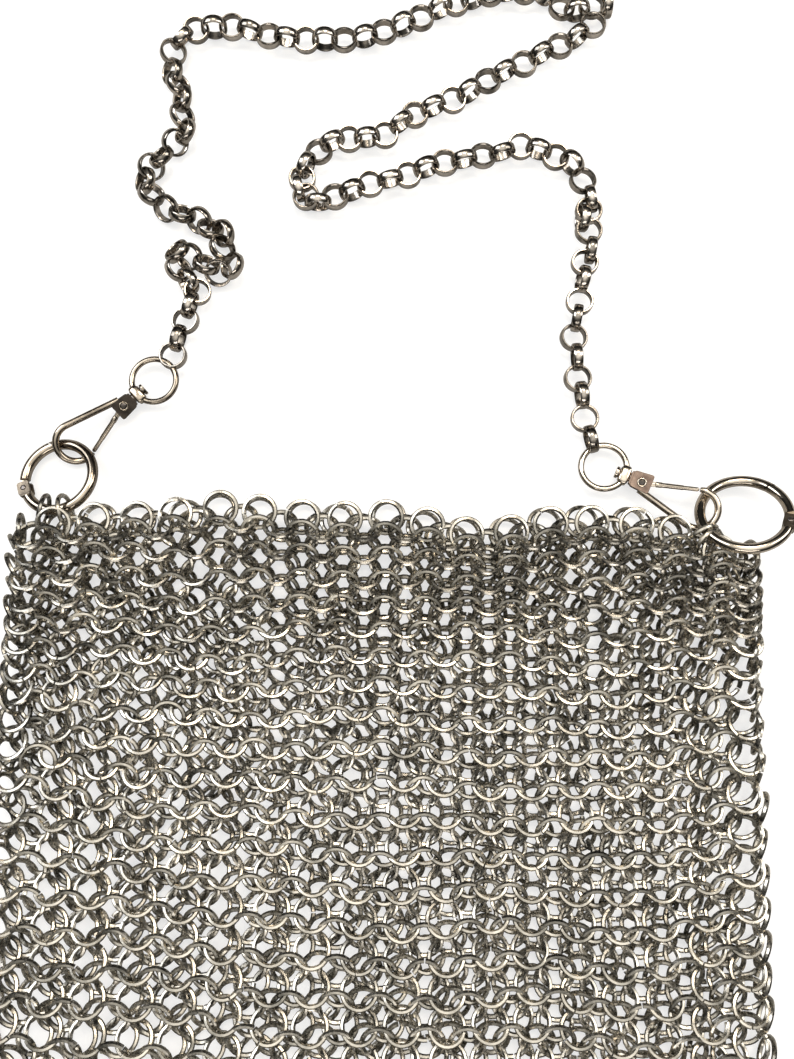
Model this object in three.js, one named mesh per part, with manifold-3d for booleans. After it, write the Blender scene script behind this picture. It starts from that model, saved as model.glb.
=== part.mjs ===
// A ring-mail purse lying on its back: a flat tube of steel mail with an open mouth, a chain
// strap, and at each end of the strap a swivel snap hook that holds a spring-gate ring.
// Millimetres, +X right, +Y towards the strap, +Z up from the surface that it lies on.
import * as THREE from 'three';
import { mergeVertices } from 'three/addons/utils/BufferGeometryUtils.js';
import Module from 'manifold-3d';

const wasm = await Module();
wasm.setup();

// General
const GAP = 0.3; // running clearance between separate pieces
const WIRE_SIDES = 6;

// Bag of mail
const BAG_WIDTH = 244;
const BAG_HEIGHT = 206;
const WALL = 4.8; // one layer of mail
const CAVITY = 4.6; // room between the two layers
const SEAM = 7; // closed strip along the bottom
const SEAM_THICKNESS = 10.5; // both layers where they come together at the bottom
const THIN_BELOW = 144; // depth under which the bag thins towards its bottom
const MAIL_RING_INNER = 9;
const MAIL_WIRE = 1.3;
const OPENING_RISE = 2.7; // half the height of an opening of the weave
const CORNER_SPREAD = 7; // between the two rings of mail that hold the left spring ring
const FOLD_SIDES = 6; // facets round each side fold
const GAP_ROWS = 3;
const GAPS_PER_ROW = 7;

// Strap chain of flat-band round links
const LINK_OUTER = 9.6;
const LINK_INNER = 7.4;
const LINK_BAND = 3.2;
const LINK_BITE = 0.1; // how far touching links sink into each other
const LEFT_LEAN = 42; // degrees that the left half leans over midway

// Spring-gate rings
const RING_WIRE = 3.5;
const LEFT_RING_INNER = 20;
const RIGHT_RING_INNER = 24;
const KNUCKLE_LENGTH = 4.6;
const KNUCKLE_DEPTH = 4.1;
const KNUCKLE_HEIGHT = 3.7;
const KNUCKLE_SLOT = 1.7;
const LUG_WALL = 0.4; // metal round the pin's hole in the gate's lug
const RING_PIN = 1.2;
const SEAM_PLAY = 0.45; // between the gate's free end and the ring

// Swivel snap hooks
const EYE_OUTER = 17;
const EYE_WIRE = 2;
const EYE_SINK = 0.3; // how far the eye's wire is let into the collar's middle
const COLLAR_LENGTH = 3.5;
const COLLAR_WIDTH = 5.5;
const COLLAR_THICKNESS = 3.8;
const POST = 2;
const POST_HEAD = 4;
const POST_HEAD_THICKNESS = 1;
const CHEEK_LENGTH = 7.2;
const CHEEK_WIDTH = 5.4;
const CHEEK_FLARE = 1.2; // extra width at the open end
const CHEEK_THICKNESS = 3.4;
const CHEEK_SLOT = 1.8;
const CHEEK_WEB = 1.2;
const PIVOT_FROM_COLLAR = 4.03;
const PIVOT_OFFSET = 0.3; // towards the frame side
const FRAME_ROOT = 3.2; // how far the frame wire runs in beside the cheeks
const GATE_ARM = 2.4; // how far the gate's flat arm reaches out of the cheeks
const RIVET = 1.6;
const RIVET_HEAD = 3.2;
const RIVET_HEAD_THICKNESS = 0.5;
const HOOK_WIRE = 2.3;
const GATE_WIRE = 1.9;
const NOSE_RADIUS = 6.35; // of the wire's centre line
const NOSE_REACH = 26; // collar to the centre of the nose
const NOSE_OFFSET = 1.4; // of the nose's centre towards the frame side

// Places on the surface, with angles in degrees counter-clockwise from +X. inset is from the
// bag's side to a ring's centre, and each hook's nose hangs on its ring at an angle from that
// centre, standing off the ring's centre line
const LEFT_RING = { inset: 14, y: 8.7, z: 5.05, riseX: 7.6, riseY: -10.3, latch: 107, hinge: 201 };
const RIGHT_RING = { inset: 5.6, y: -4.9, z: 11.2, riseX: 11.6, riseY: -28.2, latch: 48, hinge: -17 };
const LEFT_HOOK = { hang: 68.58, stand: 1.07, z: 4.3, heading: 222.8, pitch: -0.7, roll: -28.5 };
const RIGHT_HOOK = { hang: 170.13, stand: 0.09, z: 7.39, heading: -24.1, pitch: 6, roll: 9.6 };

// Mouth line: how far the edge stands above or below the nominal mouth
const MOUTH_LINE = [
  { share: -1, rise: -5.5 },
  { share: -0.7, rise: 0.5 },
  { share: -0.45, rise: 2 },
  { share: 0, rise: -0.5 },
  { share: 0.24, rise: -6 },
  { share: 0.45, rise: -2 },
  { share: 0.7, rise: -3 },
  { share: 0.86, rise: -7 },
  { share: 1, rise: -15 },
];
const MOUTH_FADE = 32; // depth over which the mouth line's shape dies out

// Strap route, chosen by hand, from the top of the strap down to each hook's eye
const ROUTE_TOP = [43, 195];
const ROUTE_LEFT = [
  [33, 192.5], [19, 182.5], [4, 174.5], [-12, 170.5], [-30, 170], [-48, 172.5], [-61, 175], [-70, 172],
  [-75.5, 162], [-73, 149], [-72, 138], [-76, 128], [-83, 119], [-81.5, 110], [-73, 104], [-62, 100.5],
  [-56, 93], [-54, 85], [-60, 81.5], [-67, 87], [-73.5, 86], [-71.5, 78.5], [-65.5, 72.5], [-66.5, 64],
];
const ROUTE_RIGHT = [
  [53, 192.5], [63, 184.5], [72, 181.5], [80.5, 184], [83.5, 178.5], [77, 173.5], [66, 168.5], [50, 160.5],
  [30, 149.5], [13, 142], [-1, 133.5], [-14, 130.5], [-24, 125], [-30.5, 115.5], [-27, 108], [-18, 108.5],
  [-6, 113.5], [14, 119.5], [34, 125], [48, 128], [59, 125.5], [67, 118], [71.5, 107], [70.5, 92],
  [67.5, 76], [65, 60], [64.5, 45], [65, 33], [67.5, 25],
];

const steel = { color: 0x8d877c, metalness: 0.95, roughness: 0.4 };
const MATERIALS = {
  mail: new THREE.MeshStandardMaterial(steel),
  chain: new THREE.MeshStandardMaterial({ ...steel, color: 0x6f675d, roughness: 0.45 }),
  nickel: new THREE.MeshStandardMaterial({ ...steel, color: 0xb5a78f, roughness: 0.22 }),
};

const radians = THREE.MathUtils.degToRad;

// Closed meshes as solids, and back

function solid(geometry) {
  const bare = geometry.clone();
  bare.deleteAttribute('normal');
  bare.deleteAttribute('uv');
  const merged = mergeVertices(bare, 1e-5);
  return new wasm.Manifold(new wasm.Mesh({
    numProp: 3,
    vertProperties: new Float32Array(merged.attributes.position.array),
    triVerts: new Uint32Array(merged.index.array),
  }));
}

function geometryOf(manifold) {
  const { numProp, vertProperties, triVerts } = manifold.getMesh();
  const corners = [];
  for (const vertex of triVerts) {
    const start = vertex * numProp;
    corners.push(vertProperties[start], vertProperties[start + 1], vertProperties[start + 2]);
  }
  const geometry = new THREE.BufferGeometry();
  geometry.setAttribute('position', new THREE.Float32BufferAttribute(corners, 3));
  geometry.computeVertexNormals();
  return geometry;
}

function union(...geometries) {
  return geometries.map(solid).reduce((sum, next) => sum.add(next));
}

// Basic shapes

function circleShape(radius, sides) {
  const points = [];
  for (let i = 0; i < sides; i += 1) {
    const angle = (2 * Math.PI * i) / sides;
    points.push(new THREE.Vector2(radius * Math.cos(angle), radius * Math.sin(angle)));
  }
  return new THREE.Shape(points);
}

function extrude(shape, depth) {
  return new THREE.ExtrudeGeometry(shape, { depth, bevelEnabled: false }).translate(0, 0, -depth / 2);
}

function wireAlong(path, diameter, steps, sides = WIRE_SIDES) {
  return new THREE.ExtrudeGeometry(circleShape(diameter / 2, sides), {
    steps,
    bevelEnabled: false,
    extrudePath: path,
  });
}

function block(length, width, thickness) {
  return new THREE.BoxGeometry(length, width, thickness);
}

function slab(from, to, width, thickness) {
  return block(to - from, width, thickness).translate((from + to) / 2, 0, 0);
}

function rodAlongX(diameter, from, to, sides = WIRE_SIDES) {
  return new THREE.CylinderGeometry(diameter / 2, diameter / 2, to - from, sides)
    .rotateZ(Math.PI / 2)
    .translate((from + to) / 2, 0, 0);
}

function rodAlongZ(diameter, height, sides = WIRE_SIDES) {
  return new THREE.CylinderGeometry(diameter / 2, diameter / 2, height, sides).rotateX(Math.PI / 2);
}

// A circular arc in the XY plane, with angles in radians
class PlanarArc extends THREE.Curve {
  constructor(radius, from, to, centre = new THREE.Vector2()) {
    super();
    Object.assign(this, { radius, from, to, centre });
  }

  getPoint(t, target = new THREE.Vector3()) {
    const angle = this.from + (this.to - this.from) * t;
    return target.set(
      this.centre.x + this.radius * Math.cos(angle),
      this.centre.y + this.radius * Math.sin(angle),
      0,
    );
  }
}

function addMesh(group, name, geometry, material) {
  const mesh = new THREE.Mesh(geometry, material);
  mesh.name = name;
  group.add(mesh);
  return mesh;
}

// Bag of mail

const BAG_THICKNESS = 2 * WALL + CAVITY;
const HALF_WIDTH = BAG_WIDTH / 2;

function stadium(width, thickness) {
  const radius = thickness / 2;
  const straight = width / 2 - radius;
  const inner = MOUTH_LINE.map((row) => row.share * HALF_WIDTH).filter((x) => Math.abs(x) < straight);
  const points = [];
  for (const x of inner) {
    points.push(new THREE.Vector2(x, -radius));
  }
  for (let i = 0; i <= FOLD_SIDES; i += 1) {
    const angle = -Math.PI / 2 + (Math.PI * i) / FOLD_SIDES;
    points.push(new THREE.Vector2(straight + radius * Math.cos(angle), radius * Math.sin(angle)));
  }
  for (const x of [...inner].reverse()) {
    points.push(new THREE.Vector2(x, radius));
  }
  for (let i = 0; i <= FOLD_SIDES; i += 1) {
    const angle = Math.PI / 2 + (Math.PI * i) / FOLD_SIDES;
    points.push(new THREE.Vector2(-straight + radius * Math.cos(angle), radius * Math.sin(angle)));
  }
  return new THREE.Shape(points);
}

function mouthRise(x) {
  const share = THREE.MathUtils.clamp(x / HALF_WIDTH, -1, 1);
  for (let i = 1; i < MOUTH_LINE.length; i += 1) {
    const before = MOUTH_LINE[i - 1];
    const after = MOUTH_LINE[i];
    if (share <= after.share) {
      const part = (share - before.share) / (after.share - before.share);
      return before.rise + (after.rise - before.rise) * part;
    }
  }
  return 0;
}

// A flat tube from the mouth down to a depth, shaped to the mouth line and the thin bottom
function tube(width, thickness, above, depth, middle) {
  const stations = [above, -MOUTH_FADE, -THIN_BELOW, -depth];
  const geometry = new THREE.ExtrudeGeometry(stadium(width, thickness), {
    depth: stations.length - 1,
    steps: stations.length - 1,
    bevelEnabled: false,
  });
  const position = geometry.attributes.position;
  for (let i = 0; i < position.count; i += 1) {
    const x = position.getX(i);
    const station = stations[Math.round(position.getZ(i))];
    const fade = THREE.MathUtils.clamp(1 + station / MOUTH_FADE, 0, 1);
    const sink = THREE.MathUtils.clamp((-station - THIN_BELOW) / (BAG_HEIGHT - THIN_BELOW), 0, 1);
    const flat = THREE.MathUtils.lerp(1, SEAM_THICKNESS / BAG_THICKNESS, sink);
    position.setXYZ(i, x, station + mouthRise(x) * fade, (middle + position.getY(i)) * flat);
  }
  return geometry;
}

// Lens-shaped openings of the weave, cut through both layers
function weaveOpening(x, y) {
  const half = MAIL_RING_INNER / 2;
  const lens = new THREE.Shape([
    new THREE.Vector2(-half, 0),
    new THREE.Vector2(0, -OPENING_RISE),
    new THREE.Vector2(half, 0),
    new THREE.Vector2(0, OPENING_RISE),
  ]);
  return extrude(lens, 4 * BAG_THICKNESS).translate(x, y, 0);
}

// One ring of mail that stands across the mouth and holds the spring ring
function cornerRing(x, y) {
  const radius = (MAIL_RING_INNER + MAIL_WIRE) / 2;
  return new THREE.TorusGeometry(radius, MAIL_WIRE / 2, 5, 10)
    .rotateY(Math.PI / 2)
    .translate(x, y, BAG_THICKNESS / 2);
}

function bagOfMail(springRings) {
  const middle = BAG_THICKNESS / 2;
  let bag = solid(tube(BAG_WIDTH, BAG_THICKNESS, 0, BAG_HEIGHT, middle));
  const inside = tube(BAG_WIDTH - 2 * WALL, CAVITY, WALL, BAG_HEIGHT - SEAM, middle);
  bag = bag.subtract(solid(inside));
  const stepX = (BAG_WIDTH - 2 * BAG_THICKNESS) / GAPS_PER_ROW;
  const stepY = (BAG_HEIGHT - MOUTH_FADE - SEAM) / GAP_ROWS;
  for (let row = 0; row < GAP_ROWS; row += 1) {
    const shift = row % 2 ? 0 : 0.5;
    for (let i = shift ? 0 : 1; i < GAPS_PER_ROW; i += 1) {
      const x = (i + shift) * stepX - (GAPS_PER_ROW * stepX) / 2;
      bag = bag.subtract(solid(weaveOpening(x, -MOUTH_FADE - (row + 0.5) * stepY)));
    }
  }
  for (const clearance of springRings) {
    bag = bag.subtract(clearance);
  }
  return bag;
}

// Strap chain

const LINK_END_ANGLE = radians(26); // half the angle of the facet at each end of a link
const LINK_HOLE_REACH = (LINK_INNER / 2) * Math.cos(LINK_END_ANGLE);
const CHAIN_HEIGHT = Math.hypot(LINK_OUTER, LINK_BAND) / 2 + 0.02;

function linkGeometry() {
  const outline = (radius, facets) => {
    const points = [];
    for (const end of [0, Math.PI]) {
      for (let i = 0; i <= facets; i += 1) {
        const angle = end + LINK_END_ANGLE + (i * (Math.PI - 2 * LINK_END_ANGLE)) / facets;
        points.push(new THREE.Vector2(radius * Math.cos(angle), radius * Math.sin(angle)));
      }
    }
    return points;
  };
  const link = new THREE.Shape(outline(LINK_OUTER / 2, 4));
  link.holes.push(new THREE.Path(outline(LINK_INNER / 2, 2)));
  return extrude(link, LINK_BAND);
}

// Walks a route in equal chords and gives the points where one link hangs in the next
function walk(path, chord, count) {
  const joints = [path[0]];
  let at = 0;
  while (joints.length <= count) {
    const last = joints[joints.length - 1];
    while (at < path.length - 1 && path[at + 1].distanceTo(last) < chord) {
      at += 1;
    }
    if (at >= path.length - 1) {
      return joints;
    }
    const near = path[at].distanceTo(last);
    const far = path[at + 1].distanceTo(last);
    const part = THREE.MathUtils.clamp((chord - near) / (far - near), 0, 1);
    joints.push(path[at].clone().lerp(path[at + 1], part));
  }
  return joints;
}

function chainJoints(route, parity) {
  const curve = new THREE.CatmullRomCurve3(route, false, 'centripetal');
  const path = curve.getSpacedPoints(3000);
  const nominal = 2 * (LINK_HOLE_REACH + LINK_BITE);
  let count = 1;
  while (walk(path, nominal, count + 1).length > count + 1) {
    count += 1;
  }
  if (count % 2 !== parity) {
    count += 1;
  }
  let low = nominal * 0.9;
  let high = nominal * 1.1;
  for (let i = 0; i < 40; i += 1) {
    const chord = (low + high) / 2;
    if (walk(path, chord, count).length > count) {
      low = chord;
    } else {
      high = chord;
    }
  }
  return walk(path, low, count);
}

function chainSolid(joints, firstTurn, lean) {
  const link = solid(linkGeometry());
  let chain = null;
  const count = joints.length - 1;
  for (let i = 0; i < count; i += 1) {
    const along = joints[i + 1].clone().sub(joints[i]).normalize();
    const side = new THREE.Vector3(0, 0, 1).cross(along).normalize();
    const up = along.clone().cross(side);
    const turn = firstTurn + (i * Math.PI) / 2 + radians(lean) * Math.sin((Math.PI * i) / (count - 1));
    const across = side.clone().multiplyScalar(Math.cos(turn)).addScaledVector(up, Math.sin(turn));
    const axis = along.clone().cross(across);
    const place = new THREE.Matrix4().makeBasis(along, across, axis);
    place.setPosition(joints[i].clone().lerp(joints[i + 1], 0.5));
    const next = link.transform(place.elements);
    chain = chain ? chain.add(next) : next;
  }
  return chain;
}

// Spring-gate ring, in its own plane

// The seam at the latch lies square to the line from the hinge, so that the gate swings clear
function seamCut(radius, latchAngle, hingeAngle, side) {
  const reach = 3 * RING_WIRE;
  const latch = new THREE.Vector2(radius, 0).rotateAround(new THREE.Vector2(), latchAngle);
  const hinge = new THREE.Vector2(radius, 0).rotateAround(new THREE.Vector2(), hingeAngle);
  const fromHinge = latch.clone().sub(hinge);
  return block(reach, reach, reach)
    .translate((side * (reach - SEAM_PLAY)) / 2, 0, 0)
    .rotateZ(fromHinge.angle())
    .translate(latch.x, latch.y, 0);
}

function springRing(inner, latch, hinge) {
  const radius = (inner + RING_WIRE) / 2;
  const knuckleHalf = KNUCKLE_LENGTH / 2 / radius;
  const turn = Math.sign(hinge - latch);
  const latchAngle = radians(latch);
  const hingeAngle = radians(hinge);
  const pastLatch = (turn * RING_WIRE) / radius;
  const bodyArc = new PlanarArc(
    radius,
    hingeAngle + turn * knuckleHalf * 0.8,
    latchAngle + pastLatch + turn * 2 * Math.PI,
  );
  const gateRoom = turn * (knuckleHalf + (4 * GAP) / radius);
  const gateArc = new PlanarArc(radius, latchAngle - pastLatch, hingeAngle - gateRoom);
  const atHinge = new THREE.Matrix4().makeRotationZ(hingeAngle)
    .multiply(new THREE.Matrix4().makeTranslation(radius, 0, 0))
    .multiply(new THREE.Matrix4().makeRotationZ((turn * Math.PI) / 2));
  const lug = RING_PIN / 2 + 2 * GAP + LUG_WALL;
  const knuckle = block(KNUCKLE_LENGTH, KNUCKLE_DEPTH, KNUCKLE_HEIGHT).applyMatrix4(atHinge);
  const slot = slab(-KNUCKLE_LENGTH, lug + GAP, 2 * KNUCKLE_DEPTH, KNUCKLE_SLOT).applyMatrix4(atHinge);
  const pin = rodAlongZ(RING_PIN, RING_WIRE, 6).applyMatrix4(atHinge);
  const body = union(wireAlong(bodyArc, RING_WIRE, 14), knuckle)
    .subtract(solid(slot))
    .subtract(solid(seamCut(radius, latchAngle, hingeAngle, -1)))
    .add(solid(pin));

  const thickness = KNUCKLE_SLOT - 2 * GAP;
  const tongue = slab(-KNUCKLE_LENGTH / 2 - 6 * GAP, 0, 2 * lug, thickness).applyMatrix4(atHinge);
  const eye = rodAlongZ(2 * lug, thickness).applyMatrix4(atHinge);
  const hole = rodAlongZ(RING_PIN + 2 * GAP, 2 * RING_WIRE, 6).applyMatrix4(atHinge);
  const gate = union(wireAlong(gateArc, RING_WIRE, 6), tongue, eye)
    .subtract(solid(hole))
    .subtract(solid(seamCut(radius, latchAngle, hingeAngle, 1)));
  return { body, gate, radius };
}

function ringCentre(place, side) {
  return new THREE.Vector3(side * (HALF_WIDTH - place.inset), place.y, place.z);
}

function ringPlane(place, side) {
  const group = new THREE.Group();
  const along = new THREE.Vector3(1, 0, Math.tan(radians(place.riseX))).normalize();
  const rise = new THREE.Vector3(0, 1, Math.tan(radians(place.riseY)));
  const normal = along.clone().cross(rise).normalize();
  const across = normal.clone().cross(along);
  group.applyMatrix4(new THREE.Matrix4().makeBasis(along, across, normal));
  group.position.copy(ringCentre(place, side));
  group.updateMatrixWorld(true);
  return group;
}

// Swivel snap hook, in its own plane: +X from the collar to the nose, +Y to the gate's side

const EYE_RADIUS = (EYE_OUTER - EYE_WIRE) / 2;
const EYE_CENTRE = -(EYE_RADIUS - EYE_SINK);
const CHEEK_START = COLLAR_LENGTH / 2 + GAP;
const CHEEK_END = CHEEK_START + CHEEK_LENGTH;
const PIVOT = new THREE.Vector2(CHEEK_START + PIVOT_FROM_COLLAR, -PIVOT_OFFSET);
const NOSE = new THREE.Vector2(NOSE_REACH, -NOSE_OFFSET);
const NOSE_END = radians(108); // where the nose meets the gate, seen from the nose's centre

function nosePoint(angle) {
  return new THREE.Vector2(Math.cos(angle), Math.sin(angle)).multiplyScalar(NOSE_RADIUS).add(NOSE);
}

function hookFrame() {
  const start = new THREE.Vector2(CHEEK_END - FRAME_ROOT, -(CHEEK_WIDTH / 2));
  const toNose = NOSE.clone().sub(start);
  const tangentAngle = Math.acos(NOSE_RADIUS / toNose.length());
  const leave = Math.atan2(-toNose.y, -toNose.x) + tangentAngle;
  const touch = nosePoint(leave);
  const path = new THREE.CurvePath();
  path.add(new THREE.LineCurve3(
    new THREE.Vector3(start.x, start.y, 0),
    new THREE.Vector3(touch.x, touch.y, 0),
  ));
  const noseFrom = leave < 0 ? leave : leave - 2 * Math.PI;
  path.add(new PlanarArc(NOSE_RADIUS, noseFrom, NOSE_END - (GAP / 2) / NOSE_RADIUS, NOSE));
  return wireAlong(path, HOOK_WIRE, 12);
}

function hookBody() {
  const cheeks = new THREE.Shape([
    new THREE.Vector2(CHEEK_START, -CHEEK_WIDTH / 2),
    new THREE.Vector2(CHEEK_END, -(CHEEK_WIDTH + CHEEK_FLARE) / 2),
    new THREE.Vector2(CHEEK_END, (CHEEK_WIDTH + CHEEK_FLARE) / 2),
    new THREE.Vector2(CHEEK_START, CHEEK_WIDTH / 2),
  ]);
  const slot = block(CHEEK_LENGTH, 3 * CHEEK_WIDTH, CHEEK_SLOT)
    .translate(CHEEK_START + CHEEK_WEB + CHEEK_LENGTH / 2, 0, 0);
  const headSide = -(COLLAR_LENGTH / 2 + GAP);
  const post = rodAlongX(POST, headSide - POST_HEAD_THICKNESS / 2, CHEEK_START + CHEEK_WEB / 2);
  const head = rodAlongX(POST_HEAD, headSide - POST_HEAD_THICKNESS, headSide);
  const rivetHeight = CHEEK_THICKNESS + 2 * RIVET_HEAD_THICKNESS;
  const rivet = rodAlongZ(RIVET, rivetHeight).translate(PIVOT.x, PIVOT.y, 0);
  const rivetHead = rodAlongZ(RIVET_HEAD, RIVET_HEAD_THICKNESS + 0.2);
  const headHeight = (rivetHeight - RIVET_HEAD_THICKNESS - 0.2) / 2;
  return solid(extrude(cheeks, CHEEK_THICKNESS))
    .subtract(solid(slot))
    .add(solid(hookFrame()))
    .subtract(solid(gateSweep()))
    .add(union(post, head, rivet))
    .add(solid(rivetHead.clone().translate(PIVOT.x, PIVOT.y, headHeight)))
    .add(solid(rivetHead.clone().translate(PIVOT.x, PIVOT.y, -headHeight)));
}

const LUG_RADIUS = 2;
const LUG_THICKNESS = CHEEK_SLOT - 2 * GAP;

// Room in the slot for the gate's lug to turn
function gateSweep() {
  return rodAlongZ(2 * (LUG_RADIUS + GAP), CHEEK_SLOT, 12).translate(PIVOT.x, PIVOT.y, 0);
}

function hookGate() {
  const tip = nosePoint(NOSE_END + (GAP / 2) / NOSE_RADIUS);
  const along = tip.clone().sub(PIVOT).normalize();
  const across = new THREE.Vector2(-along.y, along.x);
  const at = (distance, side) => PIVOT.clone().addScaledVector(along, distance).addScaledVector(across, side);
  const lugEnd = CHEEK_END - PIVOT.x + GATE_ARM;
  const shank = GATE_WIRE / 2;
  const lug = extrude(circleShape(LUG_RADIUS, 10), LUG_THICKNESS).translate(PIVOT.x, PIVOT.y, 0);
  const arm = extrude(new THREE.Shape([
    at(0, -shank), at(lugEnd, -shank * 0.8), at(lugEnd, shank * 0.8), at(0, shank),
  ]), LUG_THICKNESS);
  const wireStart = at(lugEnd - 1.2, 0);
  const wire = wireAlong(new THREE.LineCurve3(
    new THREE.Vector3(wireStart.x, wireStart.y, 0),
    new THREE.Vector3(tip.x, tip.y, 0),
  ), GATE_WIRE, 1);
  const hole = rodAlongZ(RIVET + 2 * GAP, 2 * CHEEK_THICKNESS).translate(PIVOT.x, PIVOT.y, 0);
  return union(lug, arm, wire).subtract(solid(hole));
}

function swivelEye() {
  const ring = new THREE.TorusGeometry(EYE_RADIUS, EYE_WIRE / 2, 5, 14).translate(EYE_CENTRE, 0, 0);
  const collar = block(COLLAR_LENGTH, COLLAR_WIDTH, COLLAR_THICKNESS);
  const bore = rodAlongX(POST + 3 * GAP, -COLLAR_LENGTH, COLLAR_LENGTH);
  return union(ring, collar).subtract(solid(bore));
}

function hookPlane(place, ring, side, ringInner) {
  const group = new THREE.Group();
  group.rotation.set(radians(place.roll), -radians(place.pitch), radians(place.heading), 'ZYX');
  const reach = (ringInner + RING_WIRE) / 2 + place.stand;
  const held = ringCentre(ring, side);
  held.x += reach * Math.cos(radians(place.hang));
  held.y += reach * Math.sin(radians(place.hang));
  held.z = place.z;
  group.position.copy(held).sub(new THREE.Vector3(NOSE.x, NOSE.y, 0).applyEuler(group.rotation));
  group.updateMatrixWorld(true);
  return group;
}

// Where the end of the strap hangs in a hook's eye
function eyeHold(eye, towards) {
  const centre = eye.localToWorld(new THREE.Vector3(EYE_CENTRE, 0, 0));
  const local = eye.worldToLocal(new THREE.Vector3(towards[0], towards[1], centre.z));
  local.x -= EYE_CENTRE;
  local.setZ(0).setLength(EYE_RADIUS);
  local.x += EYE_CENTRE;
  const wire = eye.localToWorld(local);
  const drop = CHAIN_HEIGHT - wire.z;
  const room = LINK_HOLE_REACH - EYE_WIRE / 2 - 2 * GAP;
  const reach = Math.sqrt(Math.max(0, room * room - drop * drop)) - LINK_HOLE_REACH;
  const away = new THREE.Vector3(towards[0] - wire.x, towards[1] - wire.y, 0).normalize();
  return wire.setZ(CHAIN_HEIGHT).addScaledVector(away, reach);
}

// Assembly

const purse = new THREE.Group();

const eyes = {};
for (const [side, place, ring, sign, inner] of [
  ['left', LEFT_HOOK, LEFT_RING, -1, LEFT_RING_INNER],
  ['right', RIGHT_HOOK, RIGHT_RING, 1, RIGHT_RING_INNER],
]) {
  const hook = hookPlane(place, ring, sign, inner);
  addMesh(hook, `${side}_hook_body`, geometryOf(hookBody()), MATERIALS.nickel);
  addMesh(hook, `${side}_hook_gate`, geometryOf(hookGate()), MATERIALS.nickel);
  const eye = addMesh(hook, `${side}_swivel_eye`, geometryOf(swivelEye()), MATERIALS.nickel);
  eye.rotation.x = -radians(place.roll);
  eye.updateMatrixWorld(true);
  eyes[side] = eye;
  purse.add(hook);
}

const ringClearances = [];
for (const [side, place, sign, inner] of [
  ['left', LEFT_RING, -1, LEFT_RING_INNER],
  ['right', RIGHT_RING, 1, RIGHT_RING_INNER],
]) {
  const plane = ringPlane(place, sign);
  const { body, gate, radius } = springRing(inner, place.latch, place.hinge);
  addMesh(plane, `${side}_ring_body`, geometryOf(body), MATERIALS.nickel);
  addMesh(plane, `${side}_ring_gate`, geometryOf(gate), MATERIALS.nickel);
  const room = new THREE.TorusGeometry(radius, RING_WIRE / 2 + 2.5 * GAP, WIRE_SIDES, 20);
  ringClearances.push(solid(room.applyMatrix4(plane.matrixWorld)));
  purse.add(plane);
}

const held = ringCentre(LEFT_RING, -1);
held.y -= (LEFT_RING_INNER + RING_WIRE) / 2;
const mail = bagOfMail(ringClearances)
  .add(solid(cornerRing(held.x - CORNER_SPREAD / 2, held.y)))
  .add(solid(cornerRing(held.x + CORNER_SPREAD / 2, held.y)));
addMesh(purse, 'mesh_body', geometryOf(mail), MATERIALS.mail);

const leftTop = new THREE.Vector3(ROUTE_TOP[0], ROUTE_TOP[1], CHAIN_HEIGHT);
const topStep = new THREE.Vector3(ROUTE_RIGHT[0][0] - ROUTE_LEFT[0][0], ROUTE_RIGHT[0][1] - ROUTE_LEFT[0][1], 0)
  .setLength(LINK_BITE * 3 + 4 * GAP);
const rightTop = leftTop.clone().sub(topStep);
const routeOf = (start, points, side) => [
  start,
  ...points.map(([x, y]) => new THREE.Vector3(x, y, CHAIN_HEIGHT)),
  eyeHold(eyes[side], points[points.length - 1]),
];
const leftJoints = chainJoints(routeOf(leftTop, ROUTE_LEFT, 'left'), 0);
const rightJoints = chainJoints(routeOf(rightTop, ROUTE_RIGHT, 'right'), 1);
addMesh(purse, 'chain_left', geometryOf(chainSolid(leftJoints, 0, LEFT_LEAN)), MATERIALS.chain);
addMesh(purse, 'chain_right', geometryOf(chainSolid(rightJoints, Math.PI / 2, 0)), MATERIALS.chain);

// The origin is the middle of the whole purse on the surface that it lies on
purse.updateMatrixWorld(true);
const bounds = new THREE.Box3().setFromObject(purse, true);
const middle = bounds.getCenter(new THREE.Vector3());
purse.position.set(-middle.x, -middle.y, -bounds.min.z);
purse.updateMatrixWorld(true);

export default purse;
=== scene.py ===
# Looks of the ring-mail purse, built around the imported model.
# Points and sizes below are in millimetres in the design frame: +X right, +Y to the strap, +Z up,
# with X = 0 in the middle of the bag and Y = 0 at its mouth.
import math
import bpy
import numpy as np
from mathutils import Matrix, Vector


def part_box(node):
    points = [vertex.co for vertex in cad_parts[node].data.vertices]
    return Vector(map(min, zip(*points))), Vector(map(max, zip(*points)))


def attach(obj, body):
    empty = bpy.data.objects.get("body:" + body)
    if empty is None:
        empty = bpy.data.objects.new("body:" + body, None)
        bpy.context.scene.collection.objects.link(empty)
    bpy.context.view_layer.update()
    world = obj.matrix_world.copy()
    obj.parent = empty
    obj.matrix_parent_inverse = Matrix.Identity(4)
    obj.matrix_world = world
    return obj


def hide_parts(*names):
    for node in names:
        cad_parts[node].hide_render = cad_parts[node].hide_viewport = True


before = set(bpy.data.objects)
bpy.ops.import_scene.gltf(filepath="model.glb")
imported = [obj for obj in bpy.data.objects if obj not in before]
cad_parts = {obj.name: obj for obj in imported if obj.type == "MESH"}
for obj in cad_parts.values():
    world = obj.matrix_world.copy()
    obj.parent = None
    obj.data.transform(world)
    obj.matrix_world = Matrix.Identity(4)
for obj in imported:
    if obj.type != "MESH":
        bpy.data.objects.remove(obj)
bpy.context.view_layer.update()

MM = 0.001
low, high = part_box("mesh_body")
SHIFT = np.array([high[0] - 0.122, low[1] + 0.206, 0.0])
RNG = np.random.default_rng(20)


# Camera

FOCAL = 918.0
IMAGE = (794.0, 1059.0)
TILT = math.radians(9)
DISTANCE = 307.0
AIM = (4.2, -8.2)

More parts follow.
